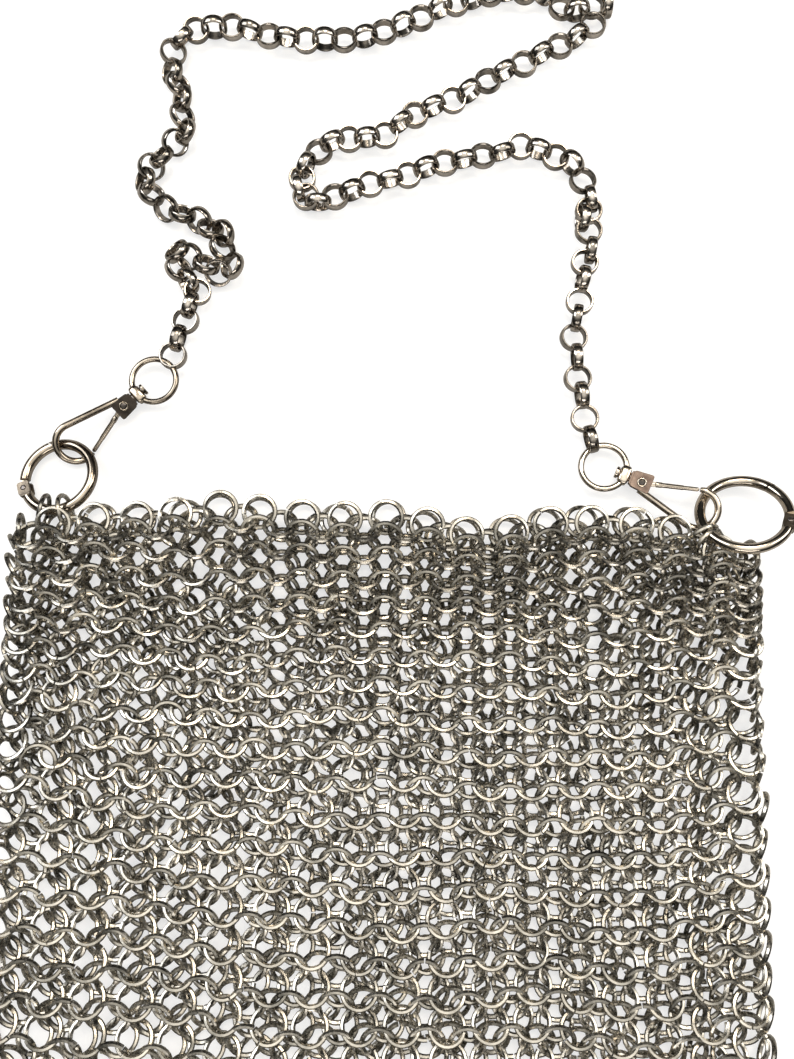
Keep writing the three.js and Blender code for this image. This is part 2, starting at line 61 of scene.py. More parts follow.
camera_data = bpy.data.cameras.new("camera")
camera_data.sensor_width = 36
camera_data.lens = 36 * FOCAL / IMAGE[1]
camera_data.clip_start = 0.01
camera = bpy.data.objects.new("camera", camera_data)
bpy.context.scene.collection.objects.link(camera)
CAMERA_AT = np.array([AIM[0], AIM[1] - DISTANCE * math.sin(TILT), DISTANCE * math.cos(TILT)])
camera.location = Vector(CAMERA_AT * MM + SHIFT)
camera.rotation_euler = (TILT, 0, 0)
bpy.context.scene.camera = camera


def from_photo(u, v, height):
    """The design point at a height above the floor that the photo shows at pixel (u, v)."""
    right = (u - IMAGE[0] / 2) / FOCAL
    up = (IMAGE[1] / 2 - v) / FOCAL
    ray = np.array([
        right,
        math.sin(TILT) + up * math.cos(TILT),
        -math.cos(TILT) + up * math.sin(TILT),
    ])
    return CAMERA_AT + ray * (height - CAMERA_AT[2]) / ray[2]


# Materials

TONE_SPREAD = 0.16  # half of the noise range over which the dark tone turns into the bright one
SPECKS_PER_PATCH = 9


def metal(name, bright, dark, rough, grain, tarnish=0.5, scratch=0.15):
    """Worn metal: patches of two tones, with finer specks that vary its gloss and raise it a little."""
    material = bpy.data.materials.new(name)
    material.use_nodes = True
    nodes = material.node_tree.nodes
    links = material.node_tree.links
    shader = nodes["Principled BSDF"]
    shader.inputs["Metallic"].default_value = 1.0
    place = nodes.new("ShaderNodeTexCoord")
    patches = nodes.new("ShaderNodeTexNoise")
    patches.inputs["Scale"].default_value = grain
    patches.inputs["Detail"].default_value = 4
    patches.inputs["Roughness"].default_value = 0.6
    links.new(place.outputs["Object"], patches.inputs["Vector"])
    ramp = nodes.new("ShaderNodeValToRGB")
    ramp.color_ramp.elements[0].position = tarnish - TONE_SPREAD
    ramp.color_ramp.elements[0].color = (*dark, 1)
    ramp.color_ramp.elements[1].position = tarnish + TONE_SPREAD
    ramp.color_ramp.elements[1].color = (*bright, 1)
    links.new(patches.outputs["Fac"], ramp.inputs["Fac"])
    links.new(ramp.outputs["Color"], shader.inputs["Base Color"])
    specks = nodes.new("ShaderNodeTexNoise")
    specks.inputs["Scale"].default_value = grain * SPECKS_PER_PATCH
    specks.inputs["Detail"].default_value = 3
    links.new(place.outputs["Object"], specks.inputs["Vector"])
    spread = nodes.new("ShaderNodeMapRange")
    spread.inputs["From Min"].default_value = 0.3
    spread.inputs["From Max"].default_value = 0.7
    spread.inputs["To Min"].default_value = rough[0]
    spread.inputs["To Max"].default_value = rough[1]
    links.new(specks.outputs["Fac"], spread.inputs["Value"])
    links.new(spread.outputs["Result"], shader.inputs["Roughness"])
    bump = nodes.new("ShaderNodeBump")
    bump.inputs["Strength"].default_value = scratch
    bump.inputs["Distance"].default_value = 0.0001
    links.new(specks.outputs["Fac"], bump.inputs["Height"])
    links.new(bump.outputs["Normal"], shader.inputs["Normal"])
    return material


MAIL = metal("aged_mail_steel", (0.6, 0.57, 0.505), (0.17, 0.165, 0.147), (0.16, 0.34), 110, 0.47)
CHAIN = metal("dark_chain_steel", (0.6, 0.55, 0.49), (0.12, 0.11, 0.095), (0.1, 0.26), 170, 0.48)
# The left copy of the nickel is painted darker than the right one: painted shade and dark reflection.
NICKEL = {
    "left": metal("shaded_left_nickel", (0.46, 0.4, 0.325), (0.13, 0.11, 0.088), (0.08, 0.2), 90, 0.45, 0.06),
    "right": metal("warm_nickel", (0.6, 0.535, 0.45), (0.24, 0.21, 0.172), (0.07, 0.18), 90, 0.42, 0.06),
}
# The hook cheeks are painted much darker than the nickel round them: a painted dark reflection on their flat
# faces.
CHEEK_PAINTED_DARK = {
    "left": metal("cheek_painted_dark_reflection", (0.09, 0.075, 0.062), (0.035, 0.03, 0.026), (0.3, 0.5), 240),
    "right": metal("brown_cheek_painted_dark_reflection", (0.3, 0.225, 0.18), (0.13, 0.095, 0.078), (0.25, 0.45), 240),
}
# Darker than the rings' nickel.
KNUCKLE_METAL = metal("dark_knuckle_metal", (0.22, 0.185, 0.145), (0.1, 0.085, 0.068), (0.3, 0.45), 240)
RIVET_METAL = metal("darkened_nickel", (0.2, 0.18, 0.17), (0.05, 0.045, 0.04), (0.2, 0.4), 240)


# Mesh makers, in the design frame

SHARP_EDGE = math.radians(38)


def piece(name, verts, faces, material, body, slot, *nodes):
    """A finished mesh that rides on a body and stands for its CAD nodes. faces is a list of index arrays."""
    loops = [np.asarray(part, dtype=np.int32) for part in faces]
    mesh = bpy.data.meshes.new(name)
    points = np.asarray(verts) * MM + SHIFT
    mesh.vertices.add(len(points))
    mesh.vertices.foreach_set("co", points.ravel())
    sizes = np.concatenate([np.full(len(part), part.shape[1]) for part in loops])
    corners = np.concatenate([part.ravel() for part in loops])
    mesh.loops.add(len(corners))
    mesh.loops.foreach_set("vertex_index", corners)
    mesh.polygons.add(len(sizes))
    mesh.polygons.foreach_set("loop_start", np.concatenate([[0], np.cumsum(sizes)[:-1]]))
    mesh.update(calc_edges=True)
    mesh.validate()
    mesh.polygons.foreach_set("use_smooth", np.ones(len(sizes), dtype=bool))
    mesh.materials.append(material)
    made = bpy.data.objects.new(name, mesh)
    bpy.context.scene.collection.objects.link(made)
    mesh.set_sharp_from_angle(angle=SHARP_EDGE)
    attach(made, body)
    if nodes:
        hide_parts(*nodes)
    return made


def joined(parts):
    """Several (verts, faces) as one, with the faces grouped by their number of corners."""
    verts = []
    by_size = {}
    start = 0
    for part_verts, part_faces in parts:
        verts.append(part_verts)
        for faces in part_faces:
            faces = np.asarray(faces)
            by_size.setdefault(faces.shape[1], []).append(faces + start)
        start += len(part_verts)
    return np.concatenate(verts), [np.concatenate(group) for group in by_size.values()]


def loft(sections, closed=False):
    """Quads between equal closed sections, shaped (count, sides, 3), with flat caps unless closed."""
    sections = np.asarray(sections, dtype=float)
    count, sides = sections.shape[:2]
    last = count if closed else count - 1
    a = np.arange(last)[:, None] * sides
    b = (np.arange(1, last + 1)[:, None] % count) * sides
    j = np.arange(sides)[None, :]
    k = (j + 1) % sides
    quads = np.stack([a + j, a + k, b + k, b + j], axis=-1).reshape(-1, 4)
    faces = [quads]
    if not closed:
        faces.append(np.arange(sides)[None, ::-1])
        faces.append((np.arange(sides) + (count - 1) * sides)[None, :])
    return sections.reshape(-1, 3), faces


MITRED = 7  # sections at a slanted end that are cut back to its plane


def sweep(path, radii, sides=14, closed=False, ends=(None, None)):
    """A round wire along a level path. An end can be cut by a plane, given as (point, direction)."""
    path = np.asarray(path, dtype=float)
    count = len(path)
    if closed:
        ahead = np.roll(path, -1, axis=0) - np.roll(path, 1, axis=0)
    else:
        ahead = np.gradient(path, axis=0)
    ahead /= np.linalg.norm(ahead, axis=1)[:, None]
    side = np.cross(ahead, (0.0, 0.0, 1.0))
    side /= np.linalg.norm(side, axis=1)[:, None]
    up = np.cross(side, ahead)
    angle = np.linspace(0, 2 * math.pi, sides, endpoint=False)
    radii = np.broadcast_to(radii, (count,))
    ring = np.cos(angle)[None, :, None] * side[:, None] + np.sin(angle)[None, :, None] * up[:, None]
    sections = path[:, None] + ring * radii[:, None, None]
    for last, inward, plane in ((0, 1, ends[0]), (count - 1, -1, ends[1])):
        if plane is not None:
            point, direction = (np.asarray(value, dtype=float) for value in plane)
            for step in range(MITRED):
                index = last + inward * step
                slide = ((point - sections[index]) @ direction) / (ahead[index] @ direction)
                if step > 0:
                    slide = np.maximum(slide * inward, 0) * inward
                sections[index] += slide[:, None] * ahead[index]
    return loft(sections, closed)


def plate(outline, bottom, top, chamfer=0.12):
    """A flat plate of any convex outline, with small chamfers round both faces."""
    outline = np.asarray(outline, dtype=float)
    centre = outline.mean(axis=0)
    reach = np.linalg.norm(outline - centre, axis=1)[:, None]
    inner = outline - (outline - centre) / reach * chamfer
    layers = [(inner, bottom), (outline, bottom + chamfer), (outline, top - chamfer), (inner, top)]
    return loft([np.column_stack([shape, np.full(len(shape), z)]) for shape, z in layers])


def rounded(corners, radius, steps=4):
    """A convex outline with its corners rounded."""
    corners = [np.asarray(corner, dtype=float) for corner in corners]
    points = []
    for i, corner in enumerate(corners):
        before = corners[i - 1] - corner
        after = corners[(i + 1) % len(corners)] - corner
        start = corner + before / np.linalg.norm(before) * radius
        end = corner + after / np.linalg.norm(after) * radius
        for t in np.linspace(0, 1, steps + 1):
            points.append((1 - t) ** 2 * start + 2 * t * (1 - t) * corner + t ** 2 * end)
    return np.array(points)


def circle(radius, sides=24):
    angle = np.linspace(0, 2 * math.pi, sides, endpoint=False)
    return np.column_stack([radius * np.cos(angle), radius * np.sin(angle)])


def arc(radius, start, end, steps, centre=(0, 0)):
    angle = np.linspace(start, end, steps)
    return np.column_stack([
        centre[0] + radius * np.cos(angle),
        centre[1] + radius * np.sin(angle),
        np.zeros(steps),
    ])


def dome(radius, rise, base, facing, sides=20):
    """A low round head that stands on a plane z = base and faces up or down."""
    levels = [(1.0, 0.0), (1.0, 0.35), (0.9, 0.7), (0.6, 0.93), (0.25, 1.0)]
    rings = [
        np.column_stack([circle(radius * share, sides), np.full(sides, base + facing * rise * level)])
        for share, level in levels
    ]
    return loft(rings if facing > 0 else rings[::-1])


def placed(part, matrix):
    verts, faces = part
    turned = np.asarray(verts) @ np.array(matrix.to_3x3()).T + np.array(matrix.translation)
    return turned, faces


# The weave: a flat tube of rings, each linked with two above it and two below it

RING_RADIUS = 5.1
RING_WIRE = 0.77
MIDDLE = 7.1
LAYER = 3.93
STRAIGHT = 114.6
AROUND = 36
FOLD = math.pi * LAYER
LENGTH = 2 * (2 * STRAIGHT + FOLD)
ROWS = 42
FIRST_DEPTHS = [5.8, 9.0, 12.2]
LAST_DEPTH = 199.5
STEP_DEPTHS = [10, 45, 70, 95, 120, 150, 200]
STEPS = [3.75, 4.4, 4.9, 5.15, 5.15, 5.1, 5.0]
BAG_HEIGHT = 206
THIN_FROM = 0.7
THIN_BY = 0.261
MOUTH_X = [-122, -85.4, -54.9, 0, 29.3, 54.9, 85.4, 104.9, 122]
MOUTH_Y = [-5.5, 0.5, 2, -0.5, -6, -2, -3, -7, -15]
MOUTH_FADE = 40


def smooth(low_edge, high_edge, value):
    """A soft step from 0 at one edge to 1 at the other."""
    t = np.clip((value - low_edge) / (high_edge - low_edge), 0, 1)
    return t * t * (3 - 2 * t)


def row_depths():
    """How far below the mouth each row lies. The rows are closest at the mouth."""
    depths = list(FIRST_DEPTHS)
    while len(depths) < ROWS:
        step = np.interp(depths[-1], STEP_DEPTHS, STEPS)
        depths.append(depths[-1] + float(step))
    scale = LAST_DEPTH / depths[-1]
    return [depth * (1 + (scale - 1) * depth / depths[-1]) for depth in depths]


def waves(x, depth):
    """How far the rows rise above level lines, fitted to the photo."""
    left = smooth(-20, -118, x) * smooth(25, 120, depth)
    rise = 9.5 * left
    rise += -3.2 * np.exp(-((x - 76) / 26) ** 2) * smooth(15, 70, depth)
    rise += 4.5 * smooth(84, 120, x) * smooth(30, 80, depth)
    rise += 1.1 * np.sin(x / 17 + depth / 31) * smooth(10, 50, depth)
    rise += 0.8 * np.sin(x / 9.5 - depth / 14 + 1)
    return rise * (1 - smooth(165, 198, depth))


def tube_point(s):
    """Place and turn of a point round the flat tube: x, share of LAYER above the middle, angle from +Z."""
    s = (s + LENGTH / 2) % LENGTH - LENGTH / 2
    side = 1 if s >= 0 else -1
    s = abs(s)
    if s < STRAIGHT:
        return side * s, 1.0, 0.0
    if s < STRAIGHT + FOLD:
        turn = (s - STRAIGHT) / LAYER
        return side * (STRAIGHT + LAYER * math.sin(turn)), math.cos(turn), side * turn
    return side * (2 * STRAIGHT + FOLD - s), -1.0, side * math.pi


def thinning(depth):
    """Share of the bag's thickness that is left at a depth."""
    return 1 - THIN_BY * np.clip((depth / BAG_HEIGHT - THIN_FROM) / (1 - THIN_FROM), 0, 1)


FIRST_LEANS = [7, 34]
LEAN_TOP = 30
LEAN_DROP = 10
MESSY_X = -78
MESSY_DEPTH = 45
BEHIND_BLEND = 45
BOTTOM_RING_Y = -204.2 + RING_RADIUS * 0.5
BOTTOM_RING_Z = 5.3
BOTTOM_LEAN = 62


def row_lean(row):
    """How far the rings of a row lean, in degrees. Every other row leans the other way."""
    lean = FIRST_LEANS[row] if row < len(FIRST_LEANS) else LEAN_TOP - LEAN_DROP * smooth(3, 18, row)
    return lean if row % 2 == 0 else -lean


def messiness(x, depth, level):
    """The front layer is crumpled at the upper left."""
    near_x = smooth(60, 20, abs(x - MESSY_X))
    near_depth = smooth(70, 45, abs(depth - MESSY_DEPTH))
    return 1 + 1.6 * near_x * near_depth * (level > 0)


def mouth_edge(x, depth):
    """The uneven mouth, which evens out over the first rows."""
    return np.interp(x, MOUTH_X, MOUTH_Y) * max(0.0, 1 - (depth - FIRST_DEPTHS[0]) / MOUTH_FADE)


def back_rise(behind, depth):
    """How far the back layer lies above the front one."""
    return behind * (1 + 2.9 * smooth(5, 60, depth)) * (1 - smooth(165, 198, depth))


def mail_rings():
    """Centre, two directions in its plane and a row number for each ring of the weave."""
    rings = []
    pitch = LENGTH / AROUND
    up = np.array([0.0, 1.0, 0.0])
    for row, depth in enumerate(row_depths()):
        lean = row_lean(row)
        slip = 0.4 - 1.1 * smooth(4, 12, row)
        for i in range(AROUND):
            s = (i + 0.5 * (row % 2)) * pitch + slip + 0.5 * math.sin(i * 2.4 + row / 7)
            x, level, turn = tube_point(s)
            mess = messiness(x, depth, level)
            round_to_back = abs((s + LENGTH / 2) % LENGTH - LENGTH / 2)
            behind = smooth(STRAIGHT - BEHIND_BLEND, STRAIGHT + FOLD + BEHIND_BLEND, round_to_back)
            y = mouth_edge(x, depth) - depth + waves(x, depth) + back_rise(behind, depth)
            y += RNG.normal(0, 0.16 * mess) + RNG.normal(0, 0.35 * behind)
            z = (MIDDLE + LAYER * level) * thinning(depth)
            narrow = 1 - 0.03 * smooth(30, 160, depth) * (x > 0)
            place = np.array([x * narrow + RNG.normal(0, 0.18 * mess + 0.4 * behind), y, z])
            outward = np.array([math.sin(turn), 0, math.cos(turn)])
            along = np.array([math.cos(turn), 0, -math.sin(turn)])
            tilt = math.radians(lean + RNG.normal(0, 1.6 * mess))
            yaw = math.radians(RNG.normal(0, 2.2 * mess))
            first = along * math.cos(yaw) + outward * math.sin(yaw)
            across = outward * math.cos(yaw) - along * math.sin(yaw)
            second = up * math.cos(tilt) + across * math.sin(tilt)
            rings.append((place, first, second, row))
    lean = math.radians(BOTTOM_LEAN)
    for i in range(AROUND // 2):
        x = (i - AROUND / 4 + 0.5 * (ROWS % 2)) * pitch
        if abs(x) < STRAIGHT:
            second = np.array([0, math.cos(lean), math.sin(lean)])
            place = np.array([x, BOTTOM_RING_Y, BOTTOM_RING_Z])
            rings.append((place, np.array([1.0, 0, 0]), second, ROWS))
    return rings


TUBE_SIDES = 7
TUBE_STEPS = 25
HALF_GAP = 0.045  # radians left open on each side of a ring's gap
LOWEST = 0.02
HIGHEST = 14.6


def ring_mesh(rings):
    """Butted rings of wire, each with its small gap turned its own way."""
    angle = np.linspace(HALF_GAP, 2 * math.pi - HALF_GAP, TUBE_STEPS + 1)
    turn = np.linspace(0, 2 * math.pi, TUBE_SIDES, endpoint=False)
    verts = []
    for place, first, second, _ in rings:
        third = np.cross(first, second)
        at = angle + RNG.uniform(0, 2 * math.pi)
        spoke = np.cos(at)[:, None] * first + np.sin(at)[:, None] * second
        radial = RING_RADIUS + RING_WIRE * np.cos(turn)
        height = RING_WIRE * np.sin(turn)
        verts.append(place + spoke[:, None] * radial[None, :, None] + third * height[None, :, None])
    verts = np.array(verts)
    verts[..., 2] += np.maximum(0, LOWEST - verts[..., 2].min(axis=(1, 2)))[:, None, None]
    verts[..., 2] -= np.maximum(0, verts[..., 2].max(axis=(1, 2)) - HIGHEST)[:, None, None]
    one = (TUBE_STEPS + 1) * TUBE_SIDES
    a = np.arange(TUBE_STEPS)[:, None] * TUBE_SIDES
    j = np.arange(TUBE_SIDES)[None, :]
    k = (j + 1) % TUBE_SIDES
    quads = np.stack([a + k, a + j, a + TUBE_SIDES + j, a + TUBE_SIDES + k], axis=-1).reshape(-1, 4)
    starts = (np.arange(len(rings)) * one)[:, None, None]
    caps = np.stack([np.arange(TUBE_SIDES), np.arange(one - TUBE_SIDES, one)[::-1]])
    walls = (quads[None] + starts).reshape(-1, 4)
    ends = (caps[None] + starts).reshape(-1, TUBE_SIDES)
    return verts.reshape(-1, 3), [walls, ends]


# Places of the hooks and spring rings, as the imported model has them

HOOKS = {
    "left": dict(x=-83.4, y=37.4, z=3.95, heading=222.8, pitch=-0.7, roll=-28.5),
    "right": dict(x=79.7, y=9.3, z=4.9, heading=-24.1, pitch=6, roll=9.6),
}
SPRING_RINGS = {
    "left": dict(x=-108, y=8.7, z=5.05, rise_x=7.6, rise_y=-10.3, latch=107, hinge=201, inner=20),
    "right": dict(x=116.4, y=-4.9, z=11.2, rise_x=11.6, rise_y=-28.2, latch=48, hinge=-17, inner=24),
}
SPRING_WIRE = 3.5
HOOK_WIRE = 2.3
NOSE = np.array([26.0, -1.4])
NOSE_RADIUS = 6.35


def hook_matrix(place, roll=None):
    turn = Matrix.Rotation(math.radians(place["heading"]), 4, "Z")
    turn = turn @ Matrix.Rotation(math.radians(-place["pitch"]), 4, "Y")
    turn = turn @ Matrix.Rotation(math.radians(place["roll"] if roll is None else roll), 4, "X")
    return Matrix.Translation((place["x"], place["y"], place["z"])) @ turn


def spring_matrix(place):
    along = Vector((1, 0, math.tan(math.radians(place["rise_x"])))).normalized()
    rise = Vector((0, 1, math.tan(math.radians(place["rise_y"]))))
    normal = along.cross(rise).normalized()
    across = normal.cross(along)
    turn = Matrix((along, across, normal)).transposed().to_4x4()
    return Matrix.Translation((place["x"], place["y"], place["z"])) @ turn


def spring_path(side, steps=60):
    place = SPRING_RINGS[side]
    radius = (place["inner"] + SPRING_WIRE) / 2
    path = arc(radius, 0, 2 * math.pi, steps)
    matrix = spring_matrix(place)
    return path @ np.array(matrix.to_3x3()).T + np.array(matrix.translation)


MOVES = [
    (0, 0, 0), (0, 0, -1), (0, 0, 1), (0, -1.5, 0), (0, -1.5, -1), (1.5, 0, 0), (-1.5, 0, 0),
    (0, 1.5, 0), (0, -3, 0), (0, -3, -1.5), (0, 0, 2), (2.5, -1.5, 0), (-2.5, -1.5, 0),
]
TOUCH = 0.1
IN_REACH = 12


def clear_of_hardware(rings):
    """Move the rings that a spring ring or a hook's nose would run into, or leave them out."""
    wires = [(spring_path("left"), SPRING_WIRE / 2), (spring_path("right"), SPRING_WIRE / 2)]
    for side, place in HOOKS.items():
        matrix = hook_matrix(place)
        nose = arc(NOSE_RADIUS, -2, 2, 30, NOSE) @ np.array(matrix.to_3x3()).T
        wires.append((nose + np.array(matrix.translation), HOOK_WIRE / 2))
    angle = np.linspace(0, 2 * math.pi, 24, endpoint=False)
    kept = []
    for place, first, second, row in rings:
        loop = np.cos(angle)[:, None] * first + np.sin(angle)[:, None] * second
        fits = None
        for move in MOVES:
            at = place + np.array(move, dtype=float)
            points = at + loop * RING_RADIUS
            clear = all(
                np.linalg.norm(points[:, None] - wire[None], axis=2).min() > thick + RING_WIRE - TOUCH
                for wire, thick in wires if np.abs(wire - at).min(axis=0).max() < IN_REACH
            )
            if clear:
                fits = at
                break
        if fits is not None:
            kept.append((fits, first, second, row))
    return kept


def linking_ring(centre, tangent, lean):
    """A ring of mail that stands round a wire, across the wire's direction."""
    tangent = Vector(tangent).normalized()
    first = Vector((0, 0, 1)).cross(tangent).normalized()
    second = tangent.cross(first).normalized()
    second = Matrix.Rotation(lean, 3, first) @ second
    return np.array(centre, dtype=float), np.array(first), np.array(second), -1


mail = clear_of_hardware(mail_rings())
left = SPRING_RINGS["left"]
for shift, lean in ((-3.5, 0.1), (3.5, -0.12)):
    mail.append(linking_ring((left["x"] + shift, left["y"] - 11.75, 7.1), (1, shift * 0.05, 0), lean))
right_path = spring_path("right", 73)
for index, lean in ((41, 0.15), (44, -0.1)):
    at = right_path[index]
    tangent = right_path[index + 1] - right_path[index - 1]
    mail.append(linking_ring(at + np.array([-0.5, -1.5, -2.4]), tangent, lean))

mail.sort(key=lambda ring: ring[3])
PER_PIECE = 500
for number, start in enumerate(range(0, len(mail), PER_PIECE)):
    verts, faces = ring_mesh(mail[start:start + PER_PIECE])
    piece(f"mail_rows_{number + 1}", verts, faces, MAIL, "purse", "mail", "mesh_body")


# Strap chain: flat-band round links at the places where the photo shows them

LINK_RADIUS = 4.25
LINK_SIDES = 30
LINK_HEIGHT = 4.9
LOWEST_LINK = 4.3
BAND_HALF = 1.5
BAND_THICK = 0.45
BAND_PROFILE = np.array([
    (-BAND_THICK, -BAND_HALF + 0.3), (-BAND_THICK + 0.25, -BAND_HALF), (BAND_THICK - 0.3, -BAND_HALF),
    (BAND_THICK, -BAND_HALF + 0.4), (BAND_THICK + 0.06, 0), (BAND_THICK, BAND_HALF - 0.4),
    (BAND_THICK - 0.3, BAND_HALF), (-BAND_THICK + 0.25, BAND_HALF), (-BAND_THICK, BAND_HALF - 0.3),
])
CHAIN_LEFT = [
    (172.5, 355), (178, 338), (185, 320), (190, 305), (197, 291), (188, 281), (178, 268), (177, 251),
    (189, 256), (206, 264), (218, 272), (232, 265), (222, 247), (223, 233), (210, 228), (199, 220),
    (182, 213), (166, 208), (151, 193), (145, 180), (151, 166), (161, 156), (175, 142), (185, 131),
    (182, 115), (182, 98), (178, 84), (172, 71), (173, 51), (182, 38), (196, 29), (214, 27), (232, 26),
    (250, 30), (269, 35), (287, 37), (306, 39), (325, 39), (344, 39), (365, 36), (384, 31), (403, 24),
    (421, 17), (440, 7), (456, 2), (473, -3), (490, -7), (507, -9), (525, -10),
]
CHAIN_RIGHT = [
    (543, -8), (562, 7), (577, 10), (592, 5), (607, 4), (593, 24), (577, 36), (560, 45), (541, 53),
    (524, 63), (504, 71), (488, 80), (469, 91), (453, 99), (433, 106), (415, 114), (401, 122),
    (385, 134), (367, 137), (349, 138), (332, 141), (319, 151), (306, 165), (302, 178), (299, 188),
    (306, 196), (318, 202), (335, 196), (352, 190), (370, 183), (390, 179), (408, 174), (426, 167),
    (445, 162), (464, 159), (483, 155), (502, 152), (521, 145), (539, 149), (556, 156), (572, 163),
    (583, 180), (591, 199), (589, 210), (583, 218), (589, 230), (591, 250), (585, 262), (583, 279),
    (580, 301), (577, 318), (574, 337), (577, 357), (578, 378), (582, 395), (585, 418), (591, 439),
]


def band_link(place, along, across):
    """One round link rolled from flat band, with soft edges."""
    axis = np.cross(along, across)
    angle = np.linspace(0, 2 * math.pi, LINK_SIDES, endpoint=False)
    spoke = np.cos(angle)[:, None] * along + np.sin(angle)[:, None] * across
    sections = (place + spoke[:, None] * (LINK_RADIUS + BAND_PROFILE[None, :, 0, None])
                + axis * BAND_PROFILE[None, :, 1, None])
    return loft(sections, closed=True)


def strap(name, pixels, first_turn, lean_at, node):
    """One half of the strap. Each link is turned a quarter further than the one before."""
    places = np.array([from_photo(u, v, LINK_HEIGHT) for u, v in pixels])
    parts = []
    for i, place in enumerate(places):
        before = places[max(i - 1, 0)]
        after = places[min(i + 1, len(places) - 1)]
        along = after - before
        along[2] = 0
        along /= np.linalg.norm(along)
        side = np.cross([0, 0, 1], along)
        turn = first_turn + i * math.pi / 2 + math.radians(lean_at(i) + RNG.uniform(-9, 9))
        across = side * math.cos(turn) + np.array([0, 0, 1]) * math.sin(turn)
        height = (LINK_RADIUS + BAND_THICK) * abs(math.sin(turn))
        height += BAND_HALF * abs(math.cos(turn)) + 0.05
        place = place.copy()
        place[2] = max(height, LOWEST_LINK)
        parts.append(band_link(place, along, across))
    verts, faces = joined(parts)
    piece(name, verts, faces, CHAIN, "purse", "chain", node)


def left_lean(i):
    """The links of the left half's lower run lean over, in degrees."""
    return 42 * float(smooth(2, 7, i) * smooth(32, 26, i))


strap("strap_left", CHAIN_LEFT, 0.0, left_lean, "chain_left")
strap("strap_right", CHAIN_RIGHT, math.pi / 2, lambda i: 0, "chain_right")


# Swivel snap hooks, in the hook's own plane: +X from the collar to the nose, +Y to the gate

CHEEK_START = 2.05
CHEEK_END = 9.25
PIVOT = np.array([CHEEK_START + 7.2 * 0.56, -0.3])
NOSE_END = math.radians(108)
EYE_RADIUS = 7.5
EYE_WIRE = 2.0
COLLAR_WIDE = 3.3
COLLAR_THICK = 1.9
COLLAR_SIDES = 28
COLLAR_LEVELS = [
    (-1.75, 0.66), (-1.5, 0.74), (-1.3, 0.93), (-0.9, 1.0),
    (0.9, 1.0), (1.3, 0.93), (1.5, 0.74), (1.75, 0.66),
]


def collar_block():
    angle = np.linspace(0, 2 * math.pi, COLLAR_SIDES, endpoint=False)
    power = 0.55  # between a circle and a square
    y = np.sign(np.cos(angle)) * np.abs(np.cos(angle)) ** power * COLLAR_WIDE
    z = np.sign(np.sin(angle)) * np.abs(np.sin(angle)) ** power * COLLAR_THICK
    return loft([
        np.column_stack([np.full(COLLAR_SIDES, x), y * share, z * share]) for x, share in COLLAR_LEVELS
    ])


def rod(radius, start, end, sides=20):
    ring = circle(radius, sides)
    levels = [(start, 0.86), (start + 0.12, 1), (end - 0.12, 1), (end, 0.86)]
    return loft([np.column_stack([np.full(sides, x), ring * share]) for x, share in levels])


def frame_path():
    """Middle line of a hook's wire: straight from the cheeks, then round the nose."""
    start = np.array([CHEEK_END - 3.2, -2.7])
    to_nose = NOSE - start
    leave = math.atan2(-to_nose[1], -to_nose[0]) + math.acos(NOSE_RADIUS / np.linalg.norm(to_nose))
    if leave > 0:
        leave -= 2 * math.pi
    bend = arc(NOSE_RADIUS, leave, NOSE_END - 0.04, 40, NOSE)
    line = np.linspace([*start, 0], bend[0], 14)[:-1]
    return np.concatenate([line, bend])


